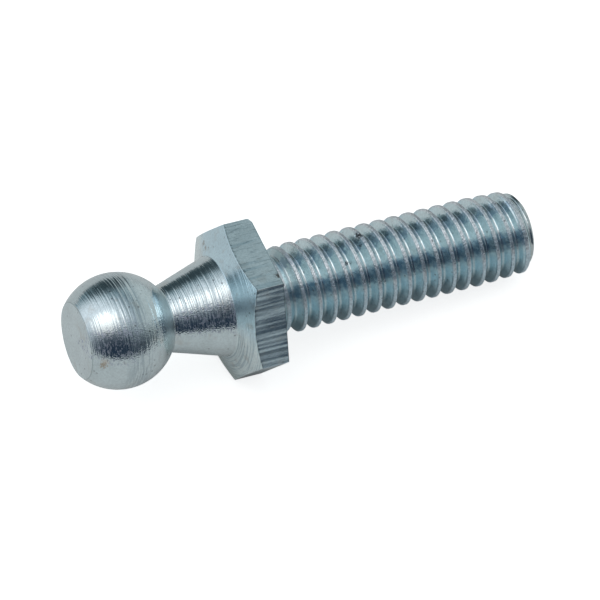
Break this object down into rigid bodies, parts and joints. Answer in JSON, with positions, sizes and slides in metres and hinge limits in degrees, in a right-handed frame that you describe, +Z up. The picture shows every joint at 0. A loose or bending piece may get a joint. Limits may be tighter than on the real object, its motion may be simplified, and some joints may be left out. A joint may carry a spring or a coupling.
{
  "type": "ball stud",
  "caption": "One-piece zinc-plated steel ball stud: a ball with a flat end on a tapered neck, a hexagon with a cone-turned face, and a right-hand threaded shank.",
  "frame": {"origin": "centre of the stud's box at its base, on the surface it lies on", "axes": "+X along the stud from the ball to the threaded end, in plan; +Z up; a flat of the hexagon faces down"},
  "size_m": [0.0422, 0.0146, 0.0129],
  "materials": {
    "zinc_steel": "bright zinc plate with a blue-clear passivation over turned, trimmed and rolled steel"
  },
  "bodies": {
    "root": {"ball_stud": "zinc_steel"}
  },
  "joints": []
}
